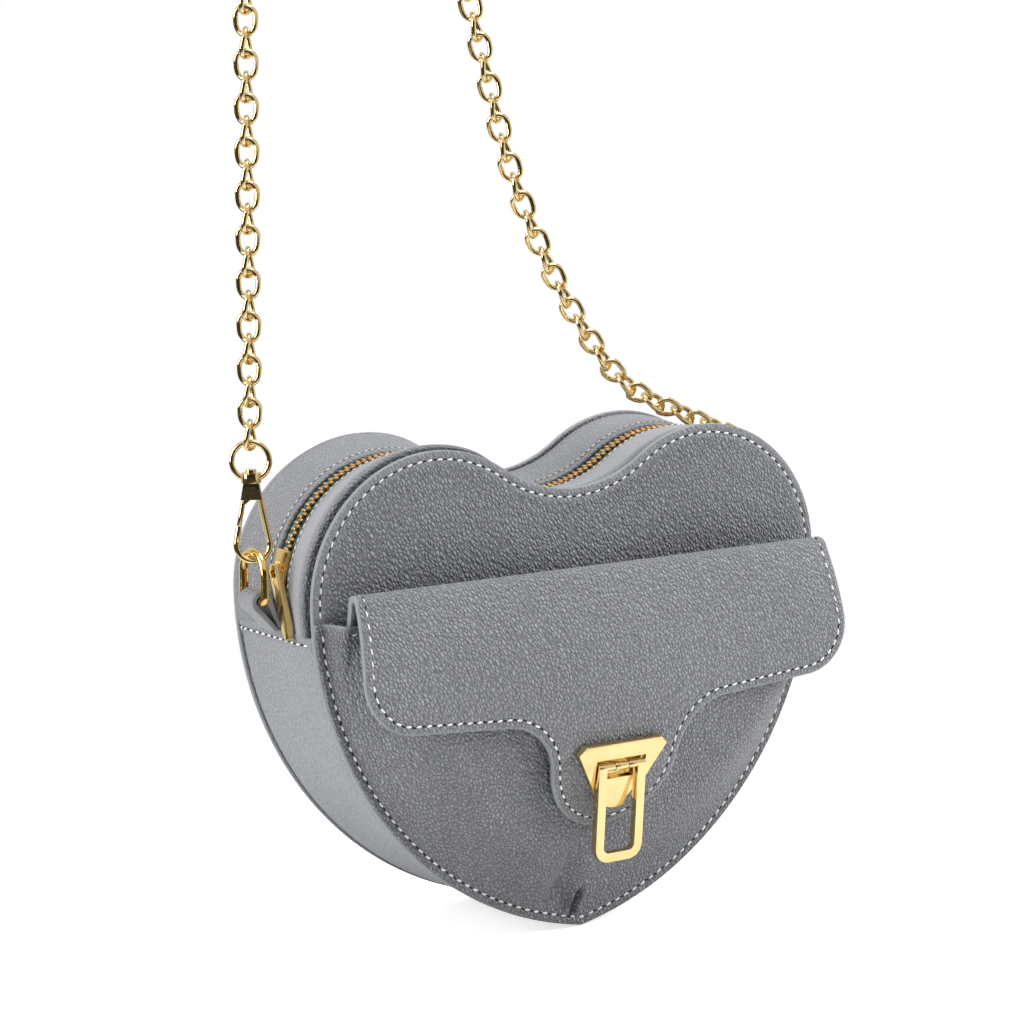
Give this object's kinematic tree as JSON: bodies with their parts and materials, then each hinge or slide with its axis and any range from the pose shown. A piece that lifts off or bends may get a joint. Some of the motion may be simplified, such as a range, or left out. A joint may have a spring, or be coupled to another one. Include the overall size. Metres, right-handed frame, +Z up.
{
  "type": "heart shaped purse",
  "caption": "Heart shaped shoulder purse in pebbled leather, with a zipped top, a front pocket under a flap with a hinged ring lock, and a chain strap on swivel clasps.",
  "frame": {"origin": "top of the chain strap, at the centre of the link that a shoulder or a hook carries", "axes": "+X to the right seen from the front, +Y from the flap to the back panel, +Z up"},
  "size_m": [0.2318, 0.082, 0.4038],
  "materials": {
    "front_leather": "satin",
    "side_leather": "satin",
    "strip_leather": "satin",
    "backing_leather": "matte",
    "lining_fabric": "matte",
    "tape_fabric": "matte",
    "zip_brass": "satin",
    "gold_metal": "polished",
    "steel": "satin"
  },
  "bodies": {
    "strap": {"chain_left": "gold_metal", "chain_arch": "gold_metal", "chain_right": "gold_metal", "chain_drape": "gold_metal", "left_swivel_ring": "gold_metal"},
    "bag": {"front_panel": "front_leather", "back_panel": "side_leather", "lower_gusset": "side_leather", "front_zip_strip": "strip_leather", "back_zip_strip": "strip_leather", "front_zip_tape": "tape_fabric", "back_zip_tape": "tape_fabric", "front_zip_teeth": "zip_brass", "back_zip_teeth": "zip_brass", "zip_stops": "zip_brass", "lining": "lining_fabric", "front_pocket": "front_leather", "flap_root": "backing_leather", "pocket_magnet": "steel", "left_tab": "side_leather", "right_tab": "side_leather"},
    "left_clasp": {"left_clasp": "gold_metal", "left_clasp_rivet": "gold_metal", "left_gate_spring": "steel"},
    "left_gate": {"left_gate": "gold_metal"},
    "left_d_ring": {"left_d_ring": "gold_metal"},
    "right_d_ring": {"right_d_ring": "gold_metal"},
    "right_clasp": {"right_clasp": "gold_metal", "right_clasp_rivet": "gold_metal", "right_gate_spring": "steel"},
    "right_gate": {"right_gate": "gold_metal"},
    "right_swivel_ring": {"right_swivel_ring": "gold_metal"},
    "flap": {"flap": "front_leather", "flap_backing": "backing_leather", "flap_fold": "front_leather", "flap_magnet": "steel", "lock_plate": "gold_metal", "lock_back_plate": "steel", "lock_screws": "steel", "lock_pin": "gold_metal"},
    "lock_ring": {"lock_ring": "gold_metal"},
    "zip_slider": {"zip_slider": "zip_brass"},
    "zip_pull": {"zip_pull": "zip_brass"}
  },
  "joints": [
    {"name": "bag_swing", "type": "hinge", "parent": "strap", "child": "bag", "pos_m": [-0.03938, 0, -0.26916], "axis": [1, 0, 0], "range_deg": [-30, 30], "deforming": ["chain_drape"]},
    {"name": "left_clasp_swivel", "type": "hinge", "parent": "strap", "child": "left_clasp", "pos_m": [-0.03938, 0, -0.26346], "axis": [0, 0, 1], "range_deg": [-5, 65]},
    {"name": "left_gate_spring", "type": "hinge", "parent": "left_clasp", "child": "left_gate", "pos_m": [-0.03938, 0, -0.24219], "axis": [-0.5446, -0.8387, 0], "range_deg": [0, 20], "stiffness_Nm_per_rad": 0.004, "springref_deg": -17.19},
    {"name": "left_d_ring_swing", "type": "hinge", "parent": "bag", "child": "left_d_ring", "pos_m": [-0.03938, 0, -0.27796], "axis": [0, 1, 0], "range_deg": [-2, 2]},
    {"name": "right_d_ring_swing", "type": "hinge", "parent": "bag", "child": "right_d_ring", "pos_m": [0.17902, 0, -0.28196], "axis": [0, 1, 0], "range_deg": [-8, 12], "deforming": ["chain_drape"]},
    {"name": "right_clasp_tilt", "type": "hinge", "parent": "right_d_ring", "child": "right_clasp", "pos_m": [0.1818, 0, -0.2662], "axis": [0, 1, 0], "range_deg": [-16, 11], "deforming": ["chain_drape"]},
    {"name": "right_gate_spring", "type": "hinge", "parent": "right_clasp", "child": "right_gate", "pos_m": [0.16883, 0, -0.25128], "axis": [-0.3308, 0.8988, -0.2876], "range_deg": [0, 20], "stiffness_Nm_per_rad": 0.004, "springref_deg": -17.19},
    {"name": "right_ring_swivel", "type": "hinge", "parent": "right_clasp", "child": "right_swivel_ring", "pos_m": [0.16202, 0, -0.24344], "axis": [-0.6561, 0, 0.7547], "range_deg": [0, 40], "deforming": ["chain_drape"]},
    {"name": "flap_hinge", "type": "hinge", "parent": "bag", "child": "flap", "pos_m": [0.06982, -0.0402, -0.27686], "axis": [-1, 0, 0], "range_deg": [0, 150], "deforming": ["flap_fold"]},
    {"name": "lock_ring_hinge", "type": "hinge", "parent": "flap", "child": "lock_ring", "pos_m": [0.06982, -0.05231, -0.3395], "axis": [-1, 0, 0], "range_deg": [0, 130]},
    {"name": "zip_travel", "type": "hinge", "parent": "bag", "child": "zip_slider", "pos_m": [0.01482, 0, -0.27846], "axis": [0, 1, 0], "range_deg": [0, 105]},
    {"name": "zip_pull_hinge", "type": "hinge", "parent": "zip_slider", "child": "zip_pull", "pos_m": [-0.0316, 0, -0.26791], "axis": [0, 0.848, -0.5299], "range_deg": [0, 3]}
  ],
  "couplings": [
    {"joint": "right_clasp_tilt", "follows": "right_d_ring_swing", "ratio": -1.2253}
  ]
}
